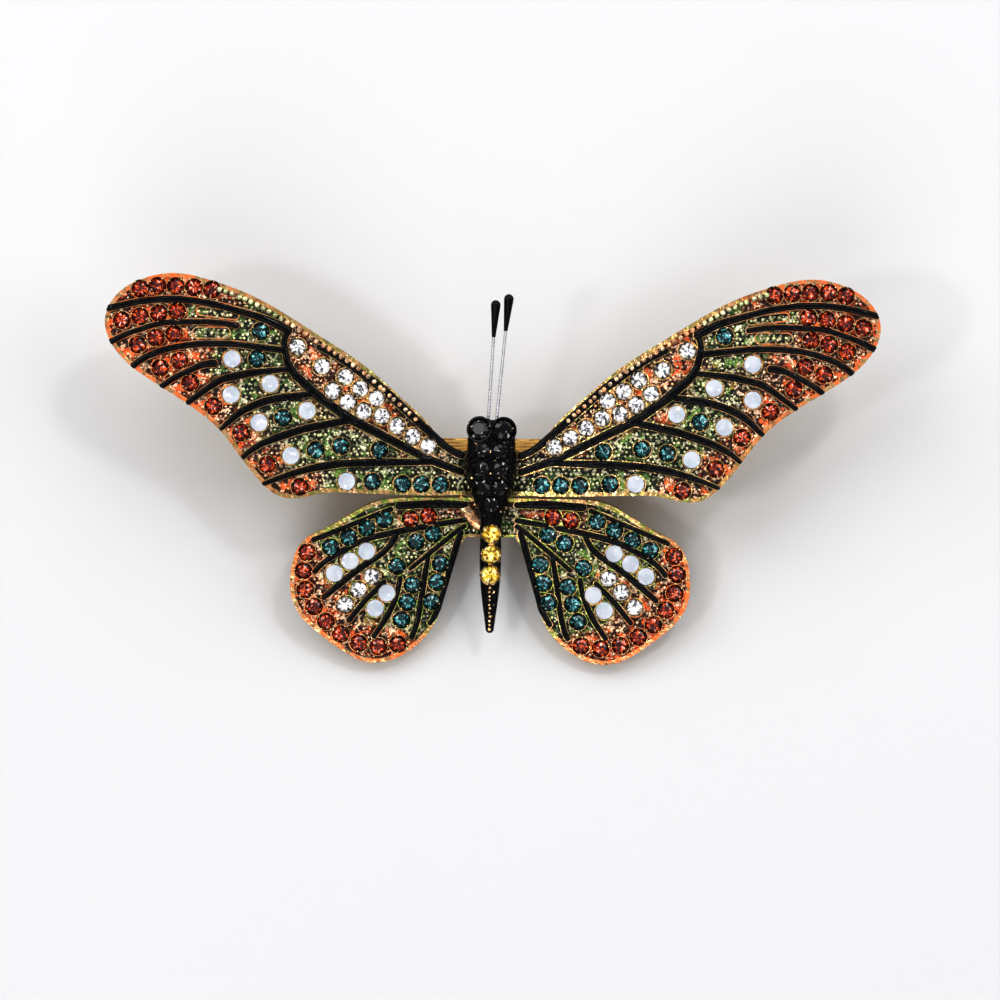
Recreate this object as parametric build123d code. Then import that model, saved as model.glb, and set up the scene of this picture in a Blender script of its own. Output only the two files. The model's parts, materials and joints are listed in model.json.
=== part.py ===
"""Butterfly brooch: four cast wings and a cast body set with round stones, black enamel veins,
two wire antennae and a hinged bar pin with a roll-over safety catch. It lies face up.

Millimetres. Origin: on the surface it lies on, under the middle of its outline. +X is to the
viewer's right, +Y is towards the head, +Z is up. It rests on its hinge, its catch and the ends
of its hindwings, so its head is raised.
Everything is first made level, with the face towards +Z and z 0 at the foot of the catch, and
is laid down at the end. Wing outlines, veins and stones are given for the right-hand side as
(out, up): the distance out from the middle line, and the height along the body. The left side
is the mirror image.
"""

from build123d import *
from math import asin, atan2, cos, degrees, radians, sin, sqrt
import os

# Wing castings
CASTING_THICK = 1.45      # back of a wing to the top of its cell walls
CELL_FLOOR = 1.0          # back of a wing to the enamelled cell floor
CHANNEL_FLOOR = 0.75      # back of a wing to the floor of a vein channel
CELL_FILL = 1.2           # back of a wing to the face of the coloured enamel
ENAMEL_TOP = 1.6          # back of a wing to the crown of the black enamel
RIM = 0.42                # width of the raised edge round a wing
CELL_WALL = 0.14          # gold wall left standing beside a vein
COLLAR = 0.13             # gold wall left standing round a stone
SMALLEST_CELL = 0.12      # cells under this area, in mm2, stay filled
ARCH_RADIUS = 150.0       # each wing is bent to this radius across the span
ROOT = 2.5                # distance out where a wing starts to rise
FOREWING_SLOPE = 14.0     # degrees that a forewing rises at its root
HINDWING_SLOPE = 7.0      # degrees that a hindwing rises at its root
HINDWING_PITCH = 6.0      # degrees that a hindwing drops towards its tip
HINDWING_TOP = -1.95      # where the hindwing root starts, just clear of the forewing

# Stones
GIRDLE = 1.22             # back of a wing to a stone's widest plane
STONE_DIAMETER = {"topaz": 1.66, "teal": 1.68, "opal": 1.76, "crystal": 1.76}
SEAT_GAP = 0.02           # radial room round a stone in its seat
CROWN_SHARE = 0.40        # crown height over stone radius
PAVILION_SHARE = 0.80     # pavilion depth over stone radius
TABLE_SHARE = 0.55        # table radius over stone radius
OPAL_HEIGHT = 0.72        # flat-topped opals, foot to top
OPAL_PROUD = 0.30         # of which this stands above the girdle plane

# Bar pin
BAR_LENGTH, BAR_WIDTH, BAR_THICK = 32.0, 4.4, 0.7
BAR_MIDDLE = 1.65         # the bar's centre line along Y
AXIS_HEIGHT = 1.5         # rivet, pin and catch axes above the surface it lies on
CLOTH_GAP = 1.8           # clear room for cloth between pin and bar
PIN_RADIUS = 0.45
PIN_POINT = 5.2           # length of the pin's sharpened end
HINGE_INSET = 2.0         # rivet centre from the bar's end
KNUCKLE_RADIUS, KNUCKLE_WIDTH = 1.15, 1.5
RIVET_RADIUS, RIVET_HEAD, RIVET_HEAD_THICK = 0.4, 0.75, 0.25
RUNNING_GAP = 0.03        # radial room in the hinge and in the catch
SIDE_GAP = 0.06           # room beside the knuckle
SHEET = 0.5               # sheet thickness of the hinge bracket
CHEEK_RADIUS = 1.28       # the bracket's cheeks round the rivet
SHOULDER_STEP, SHOULDER_PAST = 0.15, 0.12    # the pin's square shoulder over its shank, and past the cheeks
CATCH_INSET = 1.2         # catch housing's outer face from the bar's end
CATCH_LENGTH, CATCH_RADIUS, CATCH_WALL = 2.8, 1.5, 0.38
CATCH_MOUTH = 1.3         # slot in the housing, and the barrel's slot is PIN_ROOM wider than the pin
PIN_ROOM = 0.12
FLANGE_STEP, FLANGE_THICK = 0.08, 0.45    # the barrel's flanges stay this much inside the housing
LEVER_WIDTH = 0.7
LEVER_GAP = 0.12          # room between the bar and the lever as it swings past
PAD_OUT, PAD_LENGTH = 8.5, 4.0      # solder pads on the forewings, over the bar

# Body: (up, half width, half height) of its sections, and its stones
BODY_OVER_WINGS = 1.85    # the body's centre line above the wings' backs
BODY_SECTIONS = [
    (5.7, 1.5, 0.8), (4.6, 2.25, 1.35), (2.8, 2.45, 1.75), (0.8, 2.5, 1.9), (-1.4, 2.1, 1.8),
    (-3.2, 1.4, 1.55), (-4.9, 1.1, 1.3), (-8.0, 1.08, 1.2), (-11.0, 0.95, 1.05),
    (-13.4, 0.66, 0.75), (-15.2, 0.42, 0.5),
]
EYE_DIAMETER, EYE_CUP, EYE_TILT = 2.2, 0.2, 14.0
EYES = [(-1.22, 4.75), (1.2, 4.7)]
THORAX_DIAMETER = 1.66
THORAX_STONES = [(-0.95, 2.55), (0.95, 2.55), (-1.0, 0.75), (1.0, 0.75), (-0.95, -1.05), (0.9, -1.1),
                 (0.05, -2.75)]
ABDOMEN_DIAMETER = 1.86
ABDOMEN_STONES = [(0.05, -5.75), (0.05, -7.75), (0.0, -9.8)]

# Antennae: (foot, tip) as (x, y, height over the body's centre line), and the dipped tips
WIRE_RADIUS = 0.15
ANTENNAE = {
    "left": ((-0.40, 4.9, 0.7), (0.30, 17.6, 2.9)),
    "right": ((0.40, 4.9, 0.7), (1.62, 18.2, 3.1)),
}
TIP_LENGTH, TIP_RADIUS = 3.7, 0.48

# Heights that follow from the bar pin
BAR_BACK = AXIS_HEIGHT + PIN_RADIUS + CLOTH_GAP
WING_BACK = BAR_BACK + BAR_THICK
BODY_AXIS = WING_BACK + BODY_OVER_WINGS

# Wing outlines, from the top of the root round the wing to the foot of the root
FOREWING_OUTLINE = [
    (3.4, 2.6), (5, 3.75), (7, 5.95), (9, 7.75), (11, 9.55), (13, 11.15), (16, 13.1), (20, 15.6),
    (24, 17.8), (28, 19.25), (32, 19.95), (35, 19.3), (37.4, 17.8), (38.6, 15.2), (38.1, 13.2),
    (36, 10.7), (33, 8.65), (30, 6.75), (27, 4.3), (25, 1.75), (23, -0.7), (21.2, -2.1), (19.4, -2.35),
    (17, -1.85), (14, -1.75), (10, -1.85), (4, -1.85),
]
HINDWING_OUTLINE = [
    (6, HINDWING_TOP), (9, -1.97), (11, -2.2), (14, -3.6), (16.5, -5.05), (18.7, -6.35), (19.6, -7.8),
    (20.0, -10), (19.9, -11.8), (19, -13.8), (17.4, -15.4), (15, -17.2), (12, -18.55), (9.6, -18.2),
    (7.2, -16.7), (5.5, -14.6), (4.6, -11.8), (3.7, -8.8), (3.1, -6.9), (2.4, -5.9),
]

# Veins: (points along it, (width at its start, middle and end))
FOREWING_VEINS = [
    ([(38.2, 16.4), (35, 17.1), (31.5, 17.35), (28, 16.95), (25, 16.2), (22, 15.2), (20.4, 14.3)],
     (0.35, 0.5, 0.7)),
    ([(37.9, 13.1), (36.5, 13.8), (35, 14.35), (33, 14.95), (31, 15.1), (28, 15.12), (25.5, 14.8)],
     (0.45, 0.42, 0.4)),
    ([(35.7, 10.7), (34, 11.8), (32, 12.5), (30, 12.85), (27, 13.0), (24, 12.8), (20.8, 12.4)],
     (0.45, 0.48, 0.55)),
    ([(32.8, 8.7), (31.5, 9.6), (30, 10.35), (28.8, 10.85), (27.7, 11.0)], (0.35, 0.45, 0.6)),
    ([(30.2, 7.1), (29, 8.0), (28, 8.75), (27, 9.35), (25.5, 9.8), (23, 10.25), (20.4, 10.5)],
     (0.35, 0.55, 0.4)),
    ([(26.9, 4.5), (26, 5.4), (25, 6.2), (24, 6.75), (22, 7.45), (20, 7.85), (18, 8.1)],
     (0.35, 0.6, 0.4)),
    ([(24.7, 1.75), (23.5, 2.7), (22, 3.45), (20, 4.15), (18, 4.75), (16, 5.2), (14.2, 5.55)],
     (0.35, 0.6, 0.6)),
    ([(22.6, -0.9), (21, -0.25), (19, 0.4), (17, 0.85), (15, 1.15), (12, 1.35), (9, 1.4), (6, 1.45)],
     (0.3, 0.6, 0.5)),
    ([(17.3, 12.75), (15, 11.55), (13, 10.2), (11, 8.75), (9, 6.95), (7, 5.2), (5, 3.35), (3, 2.15)],
     (0.4, 0.7, 0.6)),
    ([(20.4, 14.2), (20.75, 13.2), (20.6, 12), (20.2, 10.7), (19.3, 9.6), (17.6, 8.1), (15.8, 6.75),
      (13.8, 5.45), (12, 4.55), (10, 3.55), (8, 2.5), (6, 1.6), (4.5, 1.0), (3, 0.5)],
     (0.45, 0.8, 0.6)),
]
HINDWING_VEINS = [
    ([(17.7, -6.25), (16, -5.5), (14, -4.7), (12, -3.85), (10, -3.1)], (0.3, 0.36, 0.4)),
    ([(17.5, -9.4), (16.5, -8.35), (15.2, -7.5), (13.8, -6.75), (12.3, -6.1), (10.8, -5.7), (8.5, -5.2),
      (6, -4.75), (4, -4.4), (2.6, -4.2)], (0.4, 0.5, 0.4)),
    ([(16.6, -12.0), (15.6, -11.15), (14.4, -10.1), (13, -9.0), (11.6, -8.1), (10.6, -7.35), (9.9, -6.5),
      (9.4, -5.4)], (0.45, 0.5, 0.45)),
    ([(14.1, -14.3), (13.1, -13.05), (12.3, -12.1), (11.4, -11.2), (10.6, -10.4)], (0.4, 0.45, 0.35)),
    ([(11.6, -15.9), (10.9, -14.9), (10.3, -13.9), (9.8, -12.9), (9.4, -11.9), (9.15, -10.9),
      (9.0, -10.1)], (0.4, 0.45, 0.4)),
    ([(7.8, -16.0), (7.35, -14.8), (7.05, -13.4), (6.85, -12), (6.65, -10.5), (6.45, -9), (6.2, -7.7)],
     (0.4, 0.45, 0.35)),
    ([(2.6, -4.8), (3.8, -5.65), (5, -6.65), (6.1, -7.5), (7.1, -8.35), (8, -9.1)], (0.35, 0.42, 0.3)),
    ([(3.0, -5.5), (3.55, -7.2), (3.95, -8.8), (4.35, -10.4), (4.8, -12), (5.3, -13.4), (6.0, -14.6)],
     (0.5, 0.5, 0.4)),
    ([(2.6, -2.65), (5, -2.55), (7, -2.6), (9.2, -2.75)], (0.5, 0.7, 0.6)),
]

# Stones, (out, up) of each
FOREWING_STONES = {
    "topaz": [(35.1, 18.35), (33.4, 18.65), (31.6, 18.65), (29.8, 18.55), (28.0, 18.35),
              (36.9, 15.2), (35.1, 15.6), (33.25, 15.95), (31.45, 16.15),
              (35.3, 12.8), (33.5, 13.5), (31.7, 13.9),
              (33.05, 10.5), (31.15, 11.25), (30.05, 9.05), (27.75, 6.75), (24.95, 4.15), (22.35, 1.0),
              (19.1, -1.2)],
    "opal": [(25.95, 11.45), (26.0, 7.9), (22.15, 9.05), (23.2, 5.15), (18.45, 6.4), (20.0, 1.9),
             (14.45, -0.6)],
    "teal": [(23.15, 14.25), (20.8, 5.65), (17.55, 2.5), (15.05, 2.9), (11.2, 2.6),
             (11.9, -0.6), (8.9, -0.8), (7.0, -0.8), (5.1, -0.8)],
    "crystal": [(19.45, 12.75), (17.0, 10.8), (14.65, 9.8), (13.15, 8.65), (11.55, 7.7), (15.9, 8.4),
                (14.4, 7.3), (12.8, 6.4), (11.0, 5.95), (9.45, 4.95), (7.9, 3.95), (6.35, 3.0)],
}
HINDWING_STONES = {
    "topaz": [(18.35, -7.5), (18.7, -9.35), (18.5, -11.25), (17.6, -12.95), (16.4, -14.45),
              (14.9, -15.7), (13.1, -16.6), (11.15, -16.95), (9.2, -16.7), (8.05, -4.1), (6.25, -3.8)],
    "opal": [(15.6, -9.6), (14.05, -8.35), (12.4, -7.35), (11.5, -13.1), (10.35, -11.55)],
    "teal": [(16.0, -6.95), (14.2, -5.95), (12.4, -5.0), (10.65, -4.15), (9.35, -8.85),
             (7.45, -6.4), (5.75, -5.6), (7.8, -10.75), (8.3, -12.5), (8.85, -14.25),
             (5.0, -8.6), (5.35, -10.45), (5.9, -12.4)],
    "crystal": [(14.5, -12.75), (13.15, -11.25), (11.85, -9.9)],
}
LEFT_ONLY = {"teal": [(23.45, 11.5)]}      # one more stone on the left forewing

# Raised lozenges on the forewing: (out, up, length, width, degrees)
LOZENGES = [(27.4, 16.0, 4.4, 1.0, 7.0), (28.0, 14.05, 3.9, 1.25, 0.0)]


def inset(points, amount):
    """The points moved sideways to the right of their direction of travel."""
    moved = []
    for i, (x, y) in enumerate(points):
        ahead = points[min(i + 1, len(points) - 1)]
        behind = points[max(i - 1, 0)]
        step = Vector(ahead[0] - behind[0], ahead[1] - behind[1]).normalized()
        moved.append((x + amount * step.Y, y - amount * step.X))
    return moved


def wing_face(points):
    """Face inside a wing's outline, closed along the middle line."""
    first, last = points[0], points[-1]
    edges = [
        Line((0, first[1]), first),
        Spline(*points),
        Line(last, (0, last[1])),
        Line((0, last[1]), (0, first[1])),
    ]
    return Face(Wire(edges))


def strip(points, widths, spare=0.0):
    """Face of a smooth strip along the points, with round ends and a width that varies."""
    start, middle, end = widths
    path = Spline(*points)
    count = 2 * len(points)
    left, right = [], []
    for i in range(count + 1):
        t = i / count
        near = start + (middle - start) * min(1, 3 * t)
        far = end + (middle - end) * min(1, 3 * (1 - t))
        half = min(near, far) / 2 + spare if middle >= max(start, end) else max(near, far) / 2 + spare
        across = (path % t).rotate(Axis.Z, 90) * half
        left.append(path @ t + across)
        right.append(path @ t - across)
    cap = (left[-1] - right[-1]).length / 2
    tail = (left[0] - right[0]).length / 2
    edges = [
        Spline(*left),
        ThreePointArc(left[-1], path @ 1 + (path % 1) * cap, right[-1]),
        Spline(*reversed(right)),
        ThreePointArc(right[0], path @ 0 - (path % 0) * tail, left[0]),
    ]
    return Face(Wire(edges))


def discs(stones, spare):
    """A disc at each stone, wider than the stone by spare all round."""
    return [
        Pos(out, up) * Circle(STONE_DIAMETER[kind] / 2 + spare)
        for kind, places in stones.items()
        for out, up in places
    ]


def lozenge_rings():
    """Raised outlines of the lozenges."""
    return [
        Pos(out, up) * Rot(0, 0, turn) * (SlotOverall(length, width)
                                          - SlotOverall(length - 2 * CELL_WALL, width - 2 * CELL_WALL))
        for out, up, length, width, turn in LOZENGES
    ]


def chaton(diameter):
    """Round stone with an eight-sided table, 24 crown facets and a pointed back."""
    radius = diameter / 2
    table = [Vector(TABLE_SHARE * radius, 0, CROWN_SHARE * radius).rotate(Axis.Z, 45 * i) for i in range(8)]
    girdle = [Vector(radius, 0, 0).rotate(Axis.Z, 22.5 * i) for i in range(16)]
    culet = Vector(0, 0, -PAVILION_SHARE * radius)
    facets = [table]
    for i in range(8):
        here, there = table[i], table[(i + 1) % 8]
        low, mid, high = girdle[2 * i], girdle[2 * i + 1], girdle[(2 * i + 2) % 16]
        facets += [(here, there, mid), (here, low, mid), (there, mid, high), (low, mid, culet),
                   (mid, high, culet)]
    return Solid(Shell([Face(Wire.make_polygon(facet)) for facet in facets]))


def opal(diameter):
    """Flat-topped round stone with a small bevel."""
    blank = Pos(0, 0, OPAL_PROUD - OPAL_HEIGHT / 2) * Cylinder(diameter / 2, OPAL_HEIGHT)
    return chamfer(blank.edges().group_by(Axis.Z)[-1], 0.07).solid()


def seat(diameter, pointed=True):
    """The hole that a stone drops into, with its girdle plane at z 0."""
    radius = diameter / 2 + SEAT_GAP
    if not pointed:
        foot = OPAL_HEIGHT - OPAL_PROUD
        return Pos(0, 0, 1 - foot / 2) * Cylinder(radius, 2 + foot)
    depth = PAVILION_SHARE * diameter / 2 + SEAT_GAP
    return Pos(0, 0, 1) * Cylinder(radius, 2) + Pos(0, 0, -depth / 2) * Cone(0.05, radius, depth)


class Arch:
    """The bent sheet that a wing follows, rising from its root with the given slope."""

    def __init__(self, slope):
        self.centre_out = ROOT + ARCH_RADIUS * sin(radians(slope))
        self.centre_up = WING_BACK - ARCH_RADIUS * cos(radians(slope))

    def below(self, height):
        """Everything under the sheet's surface at this height above the wing's back."""
        return Pos(self.centre_out, 0, self.centre_up) * Rot(90, 0, 0) * Cylinder(ARCH_RADIUS + height, 80)

    def place(self, out, up, height):
        """Location on that surface, with z along its normal."""
        radius = ARCH_RADIUS + height
        lean = asin((out - self.centre_out) / radius)
        return Pos(out, up, self.centre_up + radius * cos(lean)) * Rot(0, degrees(lean), 0)


def raised(sketch):
    """A plan shape drawn up through the full height of the wings."""
    return extrude(sketch, 20, dir=(0, 0, 1))


def make_wing(outline, veins, stones, slope, rings=()):
    """One right-hand wing: its casting, its black and its coloured enamel, and its stones by kind."""
    arch = Arch(slope)
    face = wing_face(outline)
    collars = discs(stones, COLLAR)
    channels = (Sketch() + [strip(*vein) for vein in veins]) - collars
    channels = channels & face
    walls = [strip(points, widths, CELL_WALL) for points, widths in veins]
    cells = wing_face(inset(outline, RIM)) - walls - collars
    if rings:
        cells = cells - list(rings)
    cells = Sketch() + [cell for cell in cells.faces() if cell.area > SMALLEST_CELL]
    casting = (raised(face) & arch.below(CASTING_THICK)) - arch.below(0)
    casting -= raised(cells) - arch.below(CELL_FLOOR)
    casting -= raised(channels) - arch.below(CHANNEL_FLOOR)
    black = (raised(channels) & arch.below(ENAMEL_TOP)) - arch.below(CHANNEL_FLOOR)
    colour = (raised(cells) & arch.below(CELL_FILL)) - arch.below(CELL_FLOOR)
    gems, seats = {}, []
    for kind, places in stones.items():
        pointed = kind != "opal"
        diameter = STONE_DIAMETER[kind]
        gem = chaton(diameter) if pointed else opal(diameter)
        gems[kind] = [arch.place(out, up, GIRDLE) * gem for out, up in places]
        seats += [arch.place(out, up, GIRDLE) * seat(diameter, pointed) for out, up in places]
    casting -= seats
    return casting, {"black": black, "colour": colour}, gems


def solder_pad():
    """Pad on a forewing's back that carries the bar, down to the bar's face."""
    height = 6.0
    block = Pos(PAD_OUT, BAR_MIDDLE, WING_BACK + height / 2) * Box(PAD_LENGTH, BAR_WIDTH - 0.8, height)
    return block & Arch(FOREWING_SLOPE).below(CHANNEL_FLOOR / 2)


def above_bar(shape):
    """The shape without anything lower than the bar's front face near the middle."""
    return shape - Pos(0, 0, WING_BACK - 5) * Box(4 * ROOT, 60, 10)


def pitched(shape):
    """A hindwing piece turned down towards its tip, about the back of its root."""
    pivot = Pos(0, HINDWING_TOP, WING_BACK)
    return pivot * Rot(HINDWING_PITCH, 0, 0) * pivot.inverse() * shape


def mirrored(shape):
    return mirror(shape, about=Plane.YZ)


def resting_pitch():
    """Degrees that the head is raised once catch and hindwings both touch the surface."""
    angles = []
    for out, up in HINDWING_OUTLINE:
        spot = pitched(Arch(HINDWING_SLOPE).place(out, up, 0)).position
        back, rise = BAR_MIDDLE - spot.Y, spot.Z - AXIS_HEIGHT
        if back > CATCH_RADIUS:
            angles.append(degrees(atan2(rise, back) + asin(CATCH_RADIUS / sqrt(back**2 + rise**2))))
    return min(angles)


def laid_down(nodes):
    """Every node turned to its resting pitch, with the origin under the middle of the outline."""
    turn = Rot(resting_pitch(), 0, 0)
    nodes = {name: [turn * piece for piece in pieces] for name, pieces in nodes.items()}
    outermost = [nodes[name][0] for name in nodes if name.endswith(("wing", "tip", "housing", "bracket"))]
    box = Compound(outermost).bounding_box()
    shift = Pos(-(box.min.X + box.max.X) / 2, -(box.min.Y + box.max.Y) / 2, -box.min.Z)
    return {name: [shift * piece for piece in pieces] for name, pieces in nodes.items()}, shift * turn


def body_height(x, y):
    """Height of the body's surface over (x, y)."""
    rows = BODY_SECTIONS
    for (y0, w0, h0), (y1, w1, h1) in zip(rows, rows[1:]):
        if y1 <= y <= y0:
            t = (y0 - y) / (y0 - y1)
            width, height = w0 + t * (w1 - w0), h0 + t * (h1 - h0)
            return BODY_AXIS + height * sqrt(max(0, 1 - (x / width) ** 2))
    raise ValueError("off the body")


def make_body():
    """The body casting with its stones: eyes, black thorax stones and yellow abdomen stones."""
    rings = [
        Plane(origin=(0, y, BODY_AXIS), x_dir=(1, 0, 0), z_dir=(0, 1, 0)) * Ellipse(width, height)
        for y, width, height in BODY_SECTIONS
    ]
    casting = loft(rings)
    tail_y, tail_width, tail_height = BODY_SECTIONS[-1]
    casting += Pos(0, tail_y, BODY_AXIS) * Sphere(tail_width)
    eyes, thorax, abdomen, seats = [], [], [], []
    for x, y in EYES:
        tilt = EYE_TILT if x > 0 else -EYE_TILT
        spot = Pos(x, y, body_height(x, y) + 0.25) * Rot(-8, tilt, 0)
        casting += spot * Pos(0, 0, -0.75) * Cylinder(EYE_DIAMETER / 2 + EYE_CUP, 1.8)
        eyes.append(spot * chaton(EYE_DIAMETER))
        seats.append(spot * seat(EYE_DIAMETER))
    for places, diameter, found in (
        (THORAX_STONES, THORAX_DIAMETER, thorax), (ABDOMEN_STONES, ABDOMEN_DIAMETER, abdomen),
    ):
        for x, y in places:
            spot = Pos(x, y, body_height(x, y)) * Rot(0, 12 * x, 0)
            casting += spot * Pos(0, 0, -0.45) * Cylinder(diameter / 2 + COLLAR, 1.0)
            found.append(spot * chaton(diameter))
            seats.append(spot * seat(diameter))
    casting -= seats
    return casting, eyes, thorax, abdomen


def make_antenna(foot, tip):
    """A straight wire and the drop of enamel on its end."""
    foot, tip = Vector(foot) + Vector(0, 0, BODY_AXIS), Vector(tip) + Vector(0, 0, BODY_AXIS)
    along = Plane(origin=foot, z_dir=tip - foot)
    length = (tip - foot).length
    wire = along * Pos(0, 0, (length - TIP_LENGTH / 2) / 2) * Cylinder(WIRE_RADIUS, length - TIP_LENGTH / 2)
    thin = 1.2 * WIRE_RADIUS
    lean = asin((TIP_RADIUS - thin) / (TIP_LENGTH - TIP_RADIUS))
    taper = TIP_LENGTH - TIP_RADIUS * (1 + sin(lean))
    drop = Pos(0, 0, -TIP_RADIUS) * Sphere(TIP_RADIUS)
    drop += Pos(0, 0, taper / 2 - TIP_LENGTH) * Cone(thin, TIP_RADIUS * cos(lean), taper)
    return wire, along * Pos(0, 0, length) * drop - wire


def make_bar_pin():
    """The bar pin's pieces: bar, hinge bracket, rivet, pin, catch housing and catch barrel."""
    y, z = BAR_MIDDLE, AXIS_HEIGHT
    bar = Pos(0, y, BAR_BACK + BAR_THICK / 2) * Box(BAR_LENGTH, BAR_WIDTH, BAR_THICK)
    bar = fillet(bar.edges().filter_by(Axis.Z), BAR_WIDTH / 2 - 0.3)

    hinge_x = HINGE_INSET - BAR_LENGTH / 2
    hinge = Pos(hinge_x, y, z) * Rot(90, 0, 0)
    outer = KNUCKLE_WIDTH + 2 * SIDE_GAP + 2 * SHEET
    rise = BAR_BACK - z
    cheeks = Cylinder(CHEEK_RADIUS, outer) + Pos(0, rise / 2, 0) * Box(2 * CHEEK_RADIUS, rise, outer)
    slot = Pos(0, -SHEET, 0) * Box(4 * CHEEK_RADIUS, 2 * rise, KNUCKLE_WIDTH + 2 * SIDE_GAP)
    bracket = hinge * (cheeks - slot - Cylinder(RIVET_RADIUS, outer))
    head = Cylinder(RIVET_HEAD, RIVET_HEAD_THICK)
    offset = (outer + RIVET_HEAD_THICK) / 2
    rivet = hinge * (Cylinder(RIVET_RADIUS, outer) + Pos(0, 0, offset) * head + Pos(0, 0, -offset) * head)

    catch_far = BAR_LENGTH / 2 - CATCH_INSET
    catch_near = catch_far - CATCH_LENGTH
    point_x = catch_far + FLANGE_THICK + 0.8
    shank_start, shank_end = hinge_x + KNUCKLE_RADIUS / 2, point_x - PIN_POINT
    along_x = Rot(0, 90, 0)
    knuckle = hinge * (Cylinder(KNUCKLE_RADIUS, KNUCKLE_WIDTH) - Cylinder(RIVET_RADIUS + RUNNING_GAP, 3))
    shank = Pos((shank_start + shank_end) / 2, y, z) * along_x * Cylinder(PIN_RADIUS, shank_end - shank_start)
    shoulder_end = hinge_x + CHEEK_RADIUS + SHOULDER_PAST
    shoulder_size = 2 * (PIN_RADIUS + SHOULDER_STEP)
    shoulder = Box(shoulder_end - shank_start, shoulder_size, shoulder_size)
    shoulder = Pos((shank_start + shoulder_end) / 2, y, z) * shoulder
    shank = shank + shoulder - hinge * Cylinder(RIVET_RADIUS + RUNNING_GAP, 3)
    point = Pos(shank_end + PIN_POINT / 2, y, z) * along_x * Cone(PIN_RADIUS, 0.06, PIN_POINT)
    pin = knuckle + shank + point

    middle = (catch_near + catch_far) / 2
    tube = Pos(middle, y, z) * along_x * Cylinder(CATCH_RADIUS, CATCH_LENGTH)
    neck = Pos(middle, y, (z + BAR_BACK) / 2) * Box(CATCH_LENGTH, 2 * CATCH_WALL + 1.4, BAR_BACK - z)
    bore = Pos(middle, y, z) * along_x * Cylinder(CATCH_RADIUS - CATCH_WALL, CATCH_LENGTH + 1)
    mouth = Pos(middle, y, z - CATCH_RADIUS) * Box(CATCH_LENGTH + 1, CATCH_MOUTH, 2 * CATCH_RADIUS)
    housing = tube + neck - bore - mouth

    barrel_radius = CATCH_RADIUS - CATCH_WALL - RUNNING_GAP
    barrel = Pos(middle, y, z) * along_x * Cylinder(barrel_radius, CATCH_LENGTH + 2 * SIDE_GAP)
    for side in (-1, 1):
        flange_x = middle + side * (CATCH_LENGTH / 2 + SIDE_GAP + FLANGE_THICK / 2)
        barrel += Pos(flange_x, y, z) * along_x * Cylinder(CATCH_RADIUS - FLANGE_STEP, FLANGE_THICK)
    lever_x = middle + CATCH_LENGTH / 2 + SIDE_GAP + FLANGE_THICK / 2
    reach = sqrt((BAR_BACK - z - LEVER_GAP)**2 - (LEVER_WIDTH / 2)**2)
    barrel += Pos(lever_x, y + reach / 2, z) * Box(FLANGE_THICK, reach, LEVER_WIDTH)
    slot_width = 2 * PIN_RADIUS + PIN_ROOM
    barrel -= Pos(middle, y, z) * along_x * Cylinder(slot_width / 2, CATCH_LENGTH + 4)
    barrel -= Pos(middle, y, z - CATCH_RADIUS) * Box(CATCH_LENGTH + 4, slot_width, 2 * CATCH_RADIUS)
    return {
        "bar": bar, "hinge_bracket": bracket, "hinge_rivet": rivet, "pin_stem": pin,
        "catch_housing": housing, "catch_barrel": barrel,
    }


def write(name, pieces):
    """Writes one node's STEP file."""
    solids = [solid for piece in pieces for solid in piece.solids()]
    export_step(Compound(children=solids) if len(solids) > 1 else solids[0], f"parts/{name}.step")


def main():
    os.makedirs("parts", exist_ok=True)
    nodes = {}
    forewing = make_wing(FOREWING_OUTLINE, FOREWING_VEINS, FOREWING_STONES, FOREWING_SLOPE, lozenge_rings())
    left_stones = {kind: places + LEFT_ONLY.get(kind, []) for kind, places in FOREWING_STONES.items()}
    left_forewing = make_wing(FOREWING_OUTLINE, FOREWING_VEINS, left_stones, FOREWING_SLOPE, lozenge_rings())
    hindwing = make_wing(HINDWING_OUTLINE, HINDWING_VEINS, HINDWING_STONES, HINDWING_SLOPE)
    for side, place, (casting, enamels, gems) in (
        ("right", lambda shape: shape, forewing), ("left", mirrored, left_forewing),
    ):
        nodes[f"{side}_forewing"] = place(above_bar(casting) + solder_pad())
        for colour, enamel in enamels.items():
            nodes[f"{side}_forewing_{colour}_enamel"] = place(above_bar(enamel))
        for kind, found in gems.items():
            nodes[f"{side}_forewing_{kind}"] = [place(gem) for gem in found]
    casting, enamels, gems = hindwing
    for side, place in (("right", pitched), ("left", lambda shape: mirrored(pitched(shape)))):
        nodes[f"{side}_hindwing"] = above_bar(place(casting))
        for colour, enamel in enamels.items():
            nodes[f"{side}_hindwing_{colour}_enamel"] = place(enamel)
        for kind, found in gems.items():
            nodes[f"{side}_hindwing_{kind}"] = [place(gem) for gem in found]

    body, eyes, thorax, abdomen = make_body()
    for side, (foot, tip) in ANTENNAE.items():
        wire, drop = make_antenna(foot, tip)
        nodes[f"{side}_antenna_wire"] = wire
        nodes[f"{side}_antenna_tip"] = drop
        body -= wire
    for name in list(nodes):
        if name.endswith(("wing", "enamel")):
            body -= nodes[name]
    body -= Pos(0, 0, WING_BACK - 5) * Box(8, 60, 10)
    nodes["body"] = body
    nodes["eye_stones"] = eyes
    nodes["thorax_stones"] = thorax
    nodes["abdomen_stones"] = abdomen
    nodes.update(make_bar_pin())
    nodes = {name: pieces if isinstance(pieces, list) else [pieces] for name, pieces in nodes.items()}
    nodes, place = laid_down(nodes)
    for name, pieces in nodes.items():
        write(name, pieces)


main()
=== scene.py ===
"""Jewelled butterfly brooch: enamel, stones, beadwork, fittings and a studio stage, as an add-on."""

import json
import random
from math import cos, radians, sin, tau

import bmesh
import bpy
from bpy.props import FloatProperty, FloatVectorProperty, IntProperty, PointerProperty
from mathutils import Matrix, Vector, noise
from mathutils.bvhtree import BVHTree
from mathutils.kdtree import KDTree


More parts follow.
